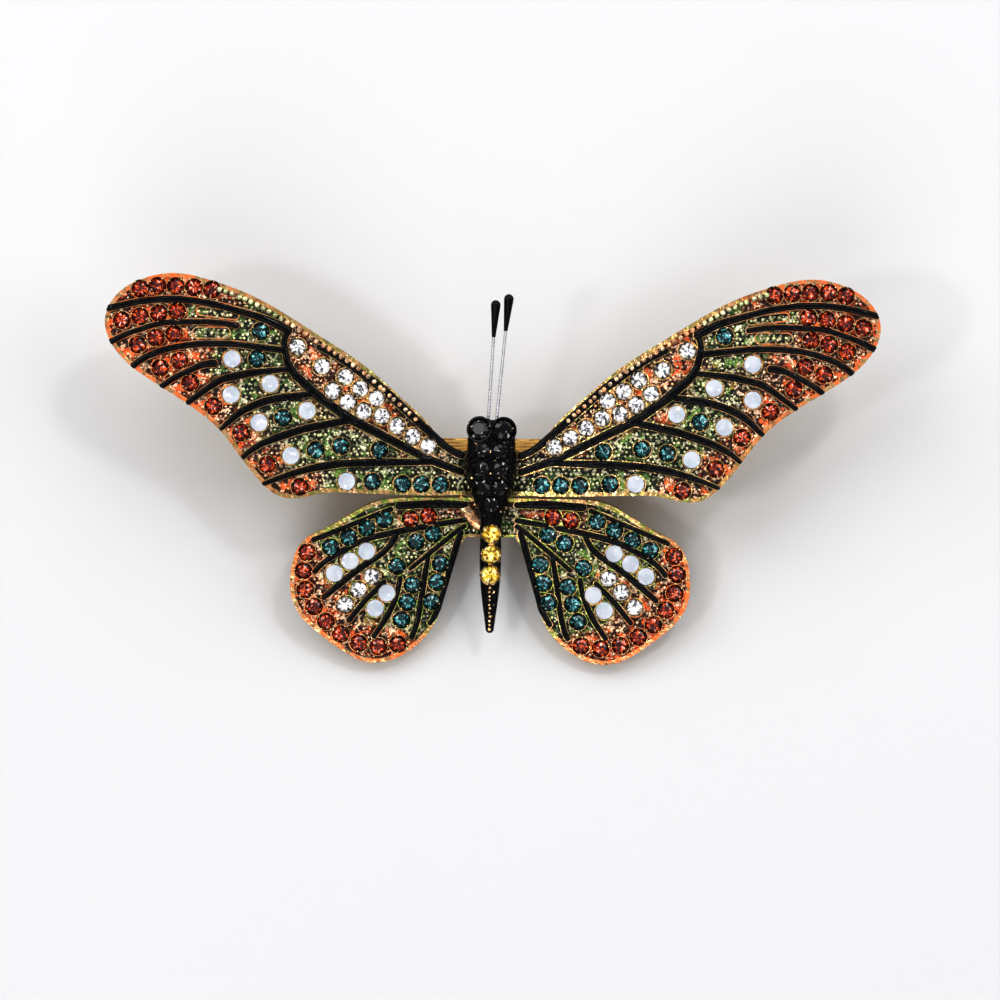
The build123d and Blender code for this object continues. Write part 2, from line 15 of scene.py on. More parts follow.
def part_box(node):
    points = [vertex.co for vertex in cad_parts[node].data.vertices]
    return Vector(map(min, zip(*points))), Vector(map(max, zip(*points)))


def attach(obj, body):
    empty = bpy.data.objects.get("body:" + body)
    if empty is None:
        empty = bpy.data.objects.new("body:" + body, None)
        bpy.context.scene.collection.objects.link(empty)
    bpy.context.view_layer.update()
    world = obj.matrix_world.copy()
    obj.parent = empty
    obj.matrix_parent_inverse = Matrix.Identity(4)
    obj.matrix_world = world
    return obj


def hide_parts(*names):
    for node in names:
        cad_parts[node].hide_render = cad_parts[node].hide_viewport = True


bl_info = {
    "name": "Jewelled butterfly brooch",
    "version": (1, 0, 0),
    "blender": (4, 5, 0),
    "location": "View3D > Sidebar > Brooch",
    "description": "Finishes the brooch's castings, enamel, stones and fittings, and sets its stage",
    "category": "Object",
}

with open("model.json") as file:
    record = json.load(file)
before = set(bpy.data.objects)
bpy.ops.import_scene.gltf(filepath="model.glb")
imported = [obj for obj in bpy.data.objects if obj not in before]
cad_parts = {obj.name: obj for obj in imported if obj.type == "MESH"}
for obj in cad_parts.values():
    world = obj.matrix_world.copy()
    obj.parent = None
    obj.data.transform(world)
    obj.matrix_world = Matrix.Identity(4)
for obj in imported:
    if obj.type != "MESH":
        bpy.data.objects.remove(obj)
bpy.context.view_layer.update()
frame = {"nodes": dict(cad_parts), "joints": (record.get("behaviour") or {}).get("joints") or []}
NODES = frame["nodes"]
STEM = next(joint for joint in frame["joints"] if joint["name"] == "pin_stem_hinge")

MM = 0.001
HEADWARD = Vector(STEM["axis"]).normalized()      # along the body, towards the head
FACING = Vector((1, 0, 0)).cross(HEADWARD)        # out through the brooch's face
PIN_LINE = Vector((0, STEM["pos_m"][1], STEM["pos_m"][2]))
WINGS = [(side, wing) for side in ("left", "right") for wing in ("forewing", "hindwing")]
STONE_KINDS = ("topaz", "teal", "opal", "crystal")
STONE_WARMTH = {"topaz": 1.0, "crystal": 0.85, "opal": 0.3, "teal": 0.0}    # share of orange round each kind
WHITE = Vector((1, 1, 1))

# How squarely a surface faces out, as a cosine, to count as the open face, a stone's table or a vein's top.
OPEN_FACE, TABLE_FACE, VEIN_TOP = 0.5, 0.7, 0.8
FALL_FROM = 40.0           # millimetres off the pin's line from which points are dropped on the face
ENAMEL_MESH = 0.3          # longest edge of the cells' mesh, in millimetres

# Each cut glass: dark, middle and spark colours of its painted facet reflections, where dark ends and spark
# starts, and its shine.
CUT_GLASSES = {
    "topaz": ((0.035, 0.003, 0.002), (0.24, 0.016, 0.004), (0.88, 0.17, 0.03), (0.42, 0.68), 0.8),
    "teal": ((0.001, 0.014, 0.017), (0.004, 0.075, 0.085), (0.14, 0.50, 0.52), (0.44, 0.70), 0.8),
    "crystal": ((0.09, 0.09, 0.10), (0.50, 0.50, 0.52), (0.92, 0.92, 0.93), (0.36, 0.52), 0.8),
    "citrine": ((0.22, 0.12, 0.004), (0.74, 0.52, 0.035), (0.98, 0.90, 0.40), (0.38, 0.64), 0.8),
    "jet": ((0.001, 0.001, 0.001), (0.002, 0.002, 0.002), (0.02, 0.02, 0.022), (0.60, 0.80), 0.15),
}
# Unit stones as level circles from the top down: segments, radius, height.
CUT_STONE = ((8, 0.55, 0.0), (16, 1.0, -0.4), (3, 0.02, -1.2))
FLAT_STONE = ((24, 0.92, 0.0), (24, 1.0, -0.08), (24, 1.0, -0.8))
SEAT_PROFILE = ((0.985, 0, -0.1), (1.05, 0, 0.06), (1.13, 0, -0.1))    # of the low ring round a unit stone


def on_brooch(out, up, height):
    """Point at these distances in millimetres from the pin's line, across, along and off the face."""
    return PIN_LINE + (Vector((out, 0, 0)) + HEADWARD * up + FACING * height) * MM


def flat_place(point):
    """Where a point lies on the brooch's face: (out, up) in millimetres from the pin's line."""
    away = (point - PIN_LINE) / MM
    return away.x, away.dot(HEADWARD)


# ---------------------------------------------------------------- shaders


class Value:
    """A shader socket that takes part in Python expressions."""

    def __init__(self, shader, socket):
        self.shader = shader
        self.socket = socket

    def math(self, operation, *others):
        """The result of a Math node on this value and others."""
        values = {i: other for i, other in enumerate((self, *others))}
        return self.shader.node("ShaderNodeMath", {"operation": operation}, values)

    def __add__(self, other):
        return self.math("ADD", other)

    __radd__ = __add__

    def __mul__(self, other):
        return self.math("MULTIPLY", other)

    __rmul__ = __mul__

    def __sub__(self, other):
        return self.math("SUBTRACT", other)

    def __rsub__(self, other):
        return self.shader.node("ShaderNodeMath", {"operation": "SUBTRACT"}, {0: other, 1: self})

    def __truediv__(self, other):
        return self.math("DIVIDE", other)

    def step(self, low, high):
        """0 below low, 1 above high, and smooth between."""
        return self.shader.node(
            "ShaderNodeMapRange",
            {"interpolation_type": "SMOOTHSTEP", "clamp": True},
            {"Value": self, "From Min": low, "From Max": high, "To Min": 0.0, "To Max": 1.0},
        )


class Finish:
    """A procedural material that reads Object coordinates."""

    def __init__(self, name):
        self.material = bpy.data.materials.new(name)
        self.material.use_nodes = True
        self.tree = self.material.node_tree
        self.tree.nodes.clear()
        self.place = self.node("ShaderNodeTexCoord", out="Object")

    def node(self, kind, settings=None, values=None, out=0):
        """Adds a node with its settings, then the values or links of its sockets."""
        made = self.tree.nodes.new(kind)
        for name, setting in (settings or {}).items():
            setattr(made, name, setting)
        for name, value in (values or {}).items():
            if isinstance(value, Value):
                self.tree.links.new(value.socket, made.inputs[name])
            else:
                made.inputs[name].default_value = value
        return Value(self, made.outputs[out])

    def noise(self, scale, detail=3.0, roughness=0.5):
        """Noise whose features are about 1 / scale millimetres wide."""
        values = {"Vector": self.place, "Scale": scale / MM, "Detail": detail, "Roughness": roughness}
        return self.node("ShaderNodeTexNoise", None, values)

    def mix(self, factor, first, second, blend="MIX"):
        """The first colour at factor 0, blended into the second at 1."""
        settings = {"data_type": "RGBA", "blend_type": blend}
        first = first if isinstance(first, Value) else (*first, 1)
        second = second if isinstance(second, Value) else (*second, 1)
        return self.node("ShaderNodeMix", settings, {0: factor, 6: first, 7: second}, out=2)

    def along(self, direction):
        """Distance in millimetres from the origin along a direction."""
        dot = {0: self.place, 1: tuple(Vector(direction) / MM)}
        return self.node("ShaderNodeVectorMath", {"operation": "DOT_PRODUCT"}, dot, out="Value")

    def bump(self, height, distance, strength=1.0):
        """Normal of a relief this many millimetres deep where the height goes from 0 to 1."""
        values = {"Height": height, "Distance": distance * MM, "Strength": strength}
        return self.node("ShaderNodeBump", None, values)

    def surface(self, **inputs):
        """Joins a Principled surface with these inputs to the output."""
        values = {name.replace("_", " "): value for name, value in inputs.items()}
        for name, value in values.items():
            if isinstance(value, tuple) and len(value) == 3:
                values[name] = (*value, 1)
        shader = self.node("ShaderNodeBsdfPrincipled", None, values)
        output = self.tree.nodes.new("ShaderNodeOutputMaterial")
        self.tree.links.new(shader.socket, output.inputs["Surface"])
        return self.material


def gilt(name, colour, wash=None, wash_share=0.0, centre=None, reach=(0, 1), inner_wash=None):
    """Gold plate on a casting, with painted highlights in pale flecks, whose face may be washed with
    lacquer.

    The inner wash lies near the centre and gives way to the other over the reach, in millimetres.
    """
    make = Finish(name)
    colour = Vector(colour)
    tone = make.mix(make.noise(0.8, 4.0).step(0.35, 0.65), tuple(colour * 0.7), tuple(colour))
    tarnish = make.noise(1.4, 4.0, 0.6).step(0.5, 0.62)
    tone = make.mix(tarnish * 0.6, tone, tuple(colour * 0.2))
    # Painted highlight: flecks of the gold lightened towards white.
    painted_highlight = make.noise(1.9, 4.0, 0.7).step(0.57, 0.63)
    tone = make.mix(painted_highlight, tone, tuple(colour.lerp(WHITE, 0.4)))
    metal = 1.0
    if wash:
        away = make.node("ShaderNodeVectorMath", {"operation": "DISTANCE"},
                         {0: make.place, 1: tuple(centre)}, out="Value") / MM
        outward = make.node("ShaderNodeNewGeometry", out="Normal")
        face = make.node("ShaderNodeVectorMath", {"operation": "DOT_PRODUCT"},
                         {0: outward, 1: tuple(FACING)}, out="Value").step(-0.3, 0.3)
        outer = away.step(*reach)
        if inner_wash:
            inner = (1 - outer) * make.noise(1.0, 4.0, 0.65).step(0.44, 0.56) * face * 0.8
            tone = make.mix(inner, tone, inner_wash)
        cover = (outer * 0.7 + wash_share) * make.noise(1.3, 4.0, 0.65).step(0.38, 0.60) * face
        tone = make.mix(cover, tone, wash)
        metal = 1.0 - cover * 0.6
    grain = make.noise(3.0, 2.0)
    rough = 0.12 + grain * 0.25
    bump = make.bump(grain * 0.5 + make.noise(1.1), 0.12)
    return make.surface(Base_Color=tone, Metallic=metal, Roughness=rough, Normal=bump)


def black_enamel(name, gold=0.0, colour=None):
    """Glossy black enamel, worn to gold of this colour over about this share."""
    make = Finish(name)
    deep = make.mix(make.noise(0.5), (0.002, 0.002, 0.003), (0.007, 0.007, 0.009))
    metal = 0.0
    if gold:
        metal = make.noise(1.5, 4.0, 0.7).step(1.0 - gold, 1.03 - gold)
        deep = make.mix(metal, deep, colour)
    rough = 0.05 + make.noise(2.5) * 0.12
    height = make.noise(0.9, 2.0) + make.noise(2.2) * 0.3
    return make.surface(Base_Color=deep, Metallic=metal, Roughness=rough, Specular_IOR_Level=0.1,
                        Coat_Weight=0.3, Coat_Roughness=0.03, Normal=make.bump(height, 0.3))


def cell_enamel(name):
    """Translucent enamel over gold grains, tinted by the piece's own colours, with painted shade as dark
    patches and painted highlights as pale ones.
    """
    make = Finish(name)
    tint = make.node("ShaderNodeAttribute", {"attribute_name": "tint"}, out="Color")
    # Painted highlight: a paler tint in patches; painted shade: the tint darkened in patches.
    painted_highlight = make.mix(0.6, tint, (1.0, 0.92, 0.72))
    dark = make.mix(1.0, tint, (0.05, 0.05, 0.04), "MULTIPLY")
    tone = make.mix(make.noise(0.9, 5.0, 0.65).step(0.50, 0.56), dark, tint)
    tone = make.mix(make.noise(1.7, 4.0, 0.7).step(0.52, 0.60), tone, painted_highlight)
    grain = make.node("ShaderNodeTexVoronoi", {"feature": "F1"}, {"Vector": make.place, "Scale": 2.6 / MM})
    height = (1 - grain) * 0.8 + make.noise(3.0) * 0.5
    return make.surface(Base_Color=tone, Metallic=0.5, Roughness=0.15 + make.noise(2.0) * 0.2,
                        Coat_Weight=0.7, Coat_Roughness=0.05, Normal=make.bump(height, 0.2))


def lacquered_beads(name):
    """Gold beads under thin lacquer of each bead's own colour."""
    make = Finish(name)
    tint = make.node("ShaderNodeAttribute", {"attribute_name": "tint"}, out="Color")
    shade = make.mix(1.0, tint, (0.3, 0.3, 0.3), "MULTIPLY")
    tone = make.mix(make.noise(2.2).step(0.35, 0.65), shade, tint)
    rough = 0.14 + make.noise(4.0) * 0.2
    return make.surface(Base_Color=tone, Metallic=0.6, Roughness=rough, Coat_Weight=0.5)


def cut_glass(name, dark, middle, spark, limits, shine):
    """Foiled glass whose facet flashes are painted reflections: wedges of dark, middle and spark colour,
    with painted glints and a painted dark rim.
    """
    make = Finish(name)
    local = make.node("ShaderNodeUVMap", {"uv_map": "facets"})
    lot = make.node("ShaderNodeAttribute", {"attribute_name": "lot"}, out="Fac")
    split = make.node("ShaderNodeSeparateXYZ", None, {"Vector": local})
    x, y = split, Value(make, split.socket.node.outputs["Y"])
    turn = y.math("ARCTAN2", x)
    radius = (x * x + y * y).math("SQRT")
    many = (turn * 8 + lot * 40).math("SINE")
    few = (turn * 3 + lot * 90 + radius * 7).math("SINE")
    wedge = (many + few) * 0.25 + 0.5
    offset = make.node("ShaderNodeCombineXYZ", None, {"X": lot * 37, "Y": lot * 53, "Z": lot * 11})
    moved = make.node("ShaderNodeVectorMath", {"operation": "ADD"}, {0: local, 1: offset})
    cells = make.node("ShaderNodeTexVoronoi", {"feature": "F1", "distance": "MANHATTAN"},
                      {"Vector": moved, "Scale": 3.2}, out="Color")
    cell = make.node("ShaderNodeSeparateColor", None, {"Color": cells})
    flash = wedge * 0.45 + cell * 0.55
    low, high = limits
    tone = make.mix(flash.step(low - 0.06, low + 0.06), dark, middle)
    tone = make.mix(flash.step(high - 0.04, high + 0.04), tone, spark)
    # Painted glints: near-white flecks of glare.
    glare = (cell * 0.6 + (turn * 5 + lot * 70).math("SINE") * 0.2 + 0.2).step(0.88, 0.91)
    tone = make.mix(glare * 0.85, tone, tuple(Vector(spark).lerp(WHITE, 0.6)))
    # Painted shade: the colour darkens towards the stone's edge.
    tone = make.mix(radius.step(0.86, 1.0), tone, tuple(Vector(dark) * 0.8))
    return make.surface(Base_Color=tone, Roughness=0.05, IOR=1.6, Specular_IOR_Level=shine,
                        Coat_Weight=1.0, Coat_Roughness=0.02)


def milk_glass(name):
    """Opal glass, cloudy white with faint blue and rose."""
    make = Finish(name)
    cloud = make.noise(0.7)
    tone = make.mix(cloud.step(0.35, 0.65), (0.46, 0.49, 0.54), (0.57, 0.59, 0.63))
    tone = make.mix(make.noise(1.6).step(0.55, 0.75), tone, (0.76, 0.73, 0.75))
    return make.surface(Base_Color=tone, Roughness=0.12, Subsurface_Weight=0.25, Subsurface_Scale=0.0006,
                        Coat_Weight=0.6, Normal=make.bump(cloud, 0.02))


def drawn_metal(name, colour, direction, roughness=0.22):
    """Wire, sheet or rod with fine draw lines that follow one another in this direction."""
    make = Finish(name)
    turns = make.along(direction) * 19      # radians to the millimetre, about three lines
    lines = (turns + make.noise(0.3) * 1.5).math("SINE")
    tone = make.mix(make.noise(0.9, 4.0).step(0.3, 0.7), tuple(Vector(colour) * 0.8), colour)
    rough = roughness + make.noise(2.0) * 0.15
    return make.surface(Base_Color=tone, Metallic=0.8, Roughness=rough, Normal=make.bump(lines, 0.018, 0.7))


def paper_floor(name, colour):
    """Matt white card."""
    make = Finish(name)
    tone = make.mix(make.noise(0.02), tuple(Vector(colour) * 0.985), colour)
    return make.surface(Base_Color=tone, Roughness=0.85, Normal=make.bump(make.noise(0.8), 0.01, 0.3))


# ---------------------------------------------------------------- meshes


def piece(name, mesh_maker, material, body="brooch", slot=None, smooth=False):
    """Turns a finished bmesh into an object that rides on a body."""
    mesh = bpy.data.meshes.new(name)
    mesh_maker.to_mesh(mesh)
    mesh_maker.free()
    mesh.materials.append(material)
    mesh.polygons.foreach_set("use_smooth", [smooth] * len(mesh.polygons))
    made = bpy.data.objects.new(name, mesh)
    bpy.context.scene.collection.objects.link(made)
    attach(made, body)
    return made


def dress(node, material, smooth=None):
    """Gives a CAD node a finish."""
    node = NODES[node]
    if not node.material_slots:
        node.data.materials.append(material)
    for holder in node.material_slots:
        holder.material = material
    if smooth is not None:
        node.data.polygons.foreach_set("use_smooth", [smooth] * len(node.data.polygons))


def merged_copy(node):
    """A bmesh of a CAD node with its loose triangles joined."""
    mesh = bmesh.new()
    mesh.from_mesh(NODES[node].data)
    bmesh.ops.remove_doubles(mesh, verts=mesh.verts, dist=1e-7)
    mesh.normal_update()
    return mesh


def tree_of(*nodes):
    """Search tree over the triangles of CAD nodes."""
    points, faces = [], []
    for node in nodes:
        mesh = NODES[node].data
        first = len(points)
        points += [vertex.co.copy() for vertex in mesh.vertices]
        faces += [[first + i for i in polygon.vertices] for polygon in mesh.polygons]
    return BVHTree.FromPolygons(points, faces)


def drop_on(tree, out, up):
    """Where a point let fall on the face lands: (place, normal), or None."""
    place, normal, _, _ = tree.ray_cast(on_brooch(out, up, FALL_FROM), -FACING)
    return (place, normal) if place is not None and normal.dot(FACING) > OPEN_FACE else None


def islands(mesh):
    """The separate solids of a merged bmesh, as lists of faces."""
    seen = set()
    for seed in mesh.faces:
        if seed in seen:
            continue
        seen.add(seed)
        found = [seed]
        for face in found:
            for vertex in face.verts:
                for near in vertex.link_faces:
                    if near not in seen:
                        seen.add(near)
                        found.append(near)
        yield found


def stone_places(node):
    """Each stone of a node: (middle of its flat top, direction it faces, radius)."""
    mesh = merged_copy(node)
    places = []
    for faces in islands(mesh):
        flats = {}
        for face in faces:
            if face.normal.dot(FACING) > TABLE_FACE:
                key = tuple(round(part, 2) for part in face.normal)
                flats.setdefault(key, []).append(face)
        top = max(flats.values(), key=lambda group: sum(face.calc_area() for face in group))
        area = sum(face.calc_area() for face in top)
        middle = sum((face.calc_center_median() * face.calc_area() for face in top), Vector()) / area
        axis = sum((face.normal * face.calc_area() for face in top), Vector()).normalized()
        vertices = {vertex for face in faces for vertex in face.verts}
        spokes = [vertex.co - middle for vertex in vertices]
        radius = max((spoke - axis * spoke.dot(axis)).length for spoke in spokes)
        places.append((middle, axis, radius))
    mesh.free()
    return sorted(places, key=lambda place: tuple(round(part, 6) for part in place[0]))


def facing_matrix(place, axis, size, spin):
    """Matrix that stands a unit shape on a place, facing along an axis."""
    turn = axis.to_track_quat("Z", "Y").to_matrix().to_4x4()
    return Matrix.Translation(place) @ turn @ Matrix.Rotation(spin, 4, "Z") @ Matrix.Scale(size, 4)


def add_copies(target, master, matrices, lots=None, tints=None):
    """Adds a copy of a mesh at each matrix, marking each copy's vertices with its lot or its tint."""
    layer = None
    if lots:
        layer = target.verts.layers.float.new("lot")
    elif tints:
        layer = target.verts.layers.float_color.new("tint")
    for i, matrix in enumerate(matrices):
        before = len(target.verts)
        target.from_mesh(master)
        target.verts.ensure_lookup_table()
        fresh = target.verts[before:]
        bmesh.ops.transform(target, matrix=matrix, verts=fresh)
        if layer:
            for vertex in fresh:
                vertex[layer] = lots[i] if lots else (*tints[i], 1)


def as_mesh(maker, name):
    """Turns a finished bmesh into mesh data."""
    mesh = bpy.data.meshes.new(name)
    maker.to_mesh(mesh)
    maker.free()
    return mesh


def stone_master(circles):
    """Unit round stone hulled over level circles, with its plan kept as a UV map."""
    maker = bmesh.new()
    for segments, radius, height in circles:
        made = bmesh.ops.create_circle(maker, segments=segments, radius=radius)["verts"]
        bmesh.ops.translate(maker, vec=(0, 0, height), verts=made)
    bmesh.ops.convex_hull(maker, input=maker.verts)
    bmesh.ops.dissolve_limit(maker, angle_limit=radians(1), verts=maker.verts, edges=maker.edges)
    bmesh.ops.recalc_face_normals(maker, faces=maker.faces)
    plan = maker.loops.layers.uv.new("facets")
    for face in maker.faces:
        for loop in face.loops:
            loop[plan].uv = loop.vert.co.xy
    return as_mesh(maker, "stone_master")


def ring_master():
    """Low ring that lies round a unit stone."""
    maker = bmesh.new()
    corners = [maker.verts.new(place) for place in SEAT_PROFILE]
    edges = [maker.edges.new((corners[i], corners[(i + 1) % 3])) for i in range(3)]
    bmesh.ops.spin(maker, geom=corners + edges, axis=(0, 0, 1), angle=tau, steps=20, use_merge=True)
    bmesh.ops.recalc_face_normals(maker, faces=maker.faces)
    return as_mesh(maker, "ring_master")


def bead_master():
    """Unit bead with few faces."""
    maker = bmesh.new()
    bmesh.ops.create_uvsphere(maker, u_segments=7, v_segments=4, radius=1)
    return as_mesh(maker, "bead_master")


def subdivided(maker, longest, rounds=7):
    """Halves long edges until none is longer than this, or the rounds are over."""
    for _ in range(rounds):
        long_edges = [edge for edge in maker.edges if edge.calc_length() > longest]
        if not long_edges:
            break
        bmesh.ops.subdivide_edges(maker, edges=long_edges, cuts=1)
        bmesh.ops.triangulate(maker, faces=[face for face in maker.faces if len(face.verts) > 3])


# ---------------------------------------------------------------- settings


class BroochSizes(bpy.types.PropertyGroup):
    """Sizes of the beadwork and the enamel, in millimetres."""

    grain_pitch: FloatProperty(
        name="Grain pitch", description="Distance between gold grains in the cells",
        default=0.52, min=0.3, max=1.5)
    grain_radius: FloatProperty(
        name="Grain radius", description="Radius of the gold grains in the cells",
        default=0.19, min=0.05, max=0.3)
    edge_pitch: FloatProperty(
        name="Edge bead pitch", description="Distance between the beads along the leading edge",
        default=0.7, min=0.3, max=1.5)
    edge_radius: FloatProperty(
        name="Edge bead radius", description="Radius of the beads along the leading edge",
        default=0.33, min=0.1, max=0.4)
    edge_inset: FloatProperty(
        name="Edge bead inset", description="Distance of the beads in from the leading edge",
        default=0.62, min=0.3, max=1.2)
    edge_end: FloatProperty(
        name="Edge bead end", description="How far out the leading edge's beads run",
        default=28.0, min=10.0, max=34.0)
    dome: FloatProperty(
        name="Vein rounding", description="Width of the rounding along the black enamel",
        default=0.2, min=0.02, max=0.3)
    spread: FloatProperty(
        name="Vein spread", description="How far the black enamel has run over its walls",
        default=0.06, min=0.0, max=0.2)
    seed: IntProperty(
        name="Seed", description="Seed for the scatter of grains and stones", default=7, min=0)


class BroochColours(bpy.types.PropertyGroup):
    """Colours of the enamel and the metal."""

    gold: FloatVectorProperty(
        name="Gold", description="Gold plate",
        subtype="COLOR", size=3, default=(0.98, 0.72, 0.40))
    bright_gold: FloatVectorProperty(
        name="Fittings", description="Gold of the bar pin",
        subtype="COLOR", size=3, default=(1.0, 0.66, 0.26))
    rose_gold: FloatVectorProperty(
        name="Petal", description="Gold of the petal at the left wings' root",
        subtype="COLOR", size=3, default=(1.0, 0.74, 0.46))
    orange: FloatVectorProperty(
        name="Orange enamel", description="Enamel of the borders",
        subtype="COLOR", size=3, default=(0.62, 0.085, 0.012))
    peach: FloatVectorProperty(
        name="Peach enamel", description="Paler enamel of the borders",
        subtype="COLOR", size=3, default=(0.90, 0.25, 0.07))
    green: FloatVectorProperty(
        name="Green enamel", description="Enamel of the inner cells",
        subtype="COLOR", size=3, default=(0.035, 0.10, 0.03))
    lime: FloatVectorProperty(
        name="Lime enamel", description="Paler enamel of the inner cells",
        subtype="COLOR", size=3, default=(0.24, 0.40, 0.09))


# ---------------------------------------------------------------- operators


class BROOCH_OT_castings(bpy.types.Operator):
    """Gilds the four cast wings, washed with lacquer towards their edges"""

    bl_idname = "brooch.castings"
    bl_label = "Castings"

    def execute(self, context):
        colours = context.scene.brooch_colours
        for side, wing in WINGS:
            low, high = (Vector(corner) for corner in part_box(f"{side}_{wing}"))
            middle = (low + high) / 2
            if wing == "forewing":
                centre = Vector((0, middle.y, middle.z))
                reach = (20, 33)
                inner = Vector(colours.lime).lerp(Vector(colours.gold), 0.3)
            else:
                inward = -3.4 if middle.x > 0 else 3.4
                centre = middle + (Vector((inward, 0, 0)) + HEADWARD * 5.2) * MM
                reach = (10.2, 12)
                inner = Vector(colours.lime) * 1.5
            dress(f"{side}_{wing}", gilt(f"{side}_{wing}_gilt", colours.gold, tuple(colours.peach), 0.25,
                                         centre, reach, tuple(inner)))
        return {"FINISHED"}


class BROOCH_OT_veins(bpy.types.Operator):
    """Rounds the black enamel of the veins and lets it waver over its walls"""

    bl_idname = "brooch.veins"
    bl_label = "Black enamel veins"

    def execute(self, context):
        finish = black_enamel("vein_black_enamel")
        sizes = context.scene.brooch_sizes
        waver = 0.07
        for side, wing in WINGS:
            node = f"{side}_{wing}_black_enamel"
            maker = merged_copy(node)
            bmesh.ops.dissolve_limit(maker, angle_limit=radians(4), verts=maker.verts, edges=maker.edges)
            maker.normal_update()
            for vertex in maker.verts:
                side_on = vertex.normal - FACING * vertex.normal.dot(FACING)
                spread = sizes.spread + waver * noise.noise(vertex.co * 1100)
                if side_on.length > 0.1:
                    vertex.co += side_on.normalized() * spread * MM
            crown_over_edges(maker, sizes.dome * MM)
            made = piece(f"{side}_{wing}_veins", maker, finish, slot="black_enamel", smooth=True)
            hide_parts(node)
        return {"FINISHED"}


def crown_over_edges(maker, width):
    """Rounds the top of flat-topped strips: full height from this far in, dipping at their edges."""
    rise, level, dip = width * 0.75, 0.35, width * 0.26
    bmesh.ops.triangulate(maker, faces=maker.faces)
    subdivided(maker, width * 1.6)
    maker.normal_update()
    top = {face for face in maker.faces if face.normal.dot(FACING) > VEIN_TOP}
    across = [edge for edge in maker.edges if all(face in top for face in edge.link_faces)
              and all(any(face not in top for face in vertex.link_faces) for vertex in edge.verts)]
    bmesh.ops.subdivide_edges(maker, edges=across, cuts=3)
    bmesh.ops.triangulate(maker, faces=[face for face in maker.faces if len(face.verts) > 3])
    maker.normal_update()
    top = {face for face in maker.faces if face.normal.dot(FACING) > VEIN_TOP}
    vertices = {vertex for face in top for vertex in face.verts}
    inner = {vertex for vertex in vertices if all(face in top for face in vertex.link_faces)}
    rim = [vertex for vertex in vertices if vertex not in inner]
    near = KDTree(len(rim))
    for i, vertex in enumerate(rim):
        near.insert(vertex.co, i)
    near.balance()
    for vertex in inner:
        share = min(near.find(vertex.co)[2] / width, 1.0)
        vertex.co += FACING * rise * ((1 - (1 - share)**2)**0.5 - level)
    for vertex in rim:
        vertex.co -= FACING * dip


def leaf_cells(side):
    """The long narrow cells near a forewing's tip: (middle, direction along, length) of each, in mm."""
    furthest_in, shortest, longest, widest_share = 24, 2.5, 5, 0.35
    maker = merged_copy(f"{side}_forewing_colour_enamel")
    found = []
    for faces in islands(maker):
        spots = [Vector(flat_place(vertex.co)) for face in faces for vertex in face.verts]
        middle = sum(spots, Vector((0, 0))) / len(spots)
        far = max(spots, key=lambda spot: (spot - middle).length)
        along = (far - middle).normalized()
        length = 2 * (far - middle).length
        width = 2 * max(abs((spot - middle).dot(Vector((-along.y, along.x)))) for spot in spots)
        if abs(middle.x) > furthest_in and shortest < length < longest and width < widest_share * length:
            found.append((middle, along, length))
    maker.free()
    return sorted(found, key=lambda cell: tuple(round(part, 3) for part in cell[0]))


def cell_warmth(side, wing):
    """Function that gives the share of orange at a point on a wing."""
    places = [(place, STONE_WARMTH[kind]) for kind in STONE_KINDS
              for place, _, _ in stone_places(f"{side}_{wing}_{kind}")]
    near = KDTree(len(places))
    for i, (place, _) in enumerate(places):
        near.insert(place, i)
    near.balance()
    leaves = leaf_cells(side) if wing == "forewing" else []
    beyond_end, half_width = 0.3, 1.0      # of a leaf, in millimetres, where its green reaches
    soft, start, rise = 0.3, 0.3, 0.35     # softening of the pull, and where orange starts and how fast

    def share(point):
        at = Vector(flat_place(point))
        for middle, along, length in leaves:
            away = at - middle
            side_off = away.dot(Vector((-along.y, along.x)))
            if abs(away.dot(along)) < length / 2 + beyond_end and abs(side_off) < half_width:
                return 0.0
        total = weight = 0.0
        for _, i, distance in near.find_n(point, 4):
            pull = 1 / (distance / MM + soft)**3
            total += pull * places[i][1]
            weight += pull
        value = total / weight + 0.35 * noise.noise(point * 600)
        return min(1.0, max(0.0, (value - start) / rise))

    return share


class BROOCH_OT_cells(bpy.types.Operator):
    """Fills the cells with enamel, coloured by the stones near by and darkened with painted shade near veins
    and roots
    """

    bl_idname = "brooch.cells"
    bl_label = "Coloured enamel"

    def execute(self, context):
        finish = cell_enamel("cell_enamel")
        colours = context.scene.brooch_colours
        # In millimetres, how far the painted shade reaches and over what distance it fades.
        vein_dark, vein_fade = 0.12, 0.5
        root, root_dark, root_fade = Vector((0, 2)), 2, 11
        for side, wing in WINGS:
            node = f"{side}_{wing}_colour_enamel"
            maker = merged_copy(node)
            subdivided(maker, ENAMEL_MESH * MM)
            tint = maker.verts.layers.float_color.new("tint")
            warmth = cell_warmth(side, wing)
            vein = tree_of(f"{side}_{wing}_black_enamel")
            for vertex in maker.verts:
                share = warmth(vertex.co)
                cloud = 0.5 + 0.5 * noise.noise(vertex.co * 900)
                warm = Vector(colours.orange).lerp(Vector(colours.peach), cloud)
                cool = Vector(colours.green).lerp(Vector(colours.lime), cloud)
                off_vein = (vein.find_nearest(vertex.co)[3] / MM - vein_dark) / vein_fade
                off_vein += 0.5 * noise.noise(vertex.co * 1600)
                off_root = ((Vector(flat_place(vertex.co)) - root).length - root_dark) / root_fade
                # Painted shade: the tint darkens towards the veins and the wings' root.
                unshaded = min(max(off_vein, 0.04), 1) * min(max(off_root, 0.3), 1)
                vertex[tint] = (*(cool.lerp(warm, share) * unshaded), 1)
            made = piece(f"{side}_{wing}_cells", maker, finish, slot="colour_enamel")
            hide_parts(node)
        return {"FINISHED"}


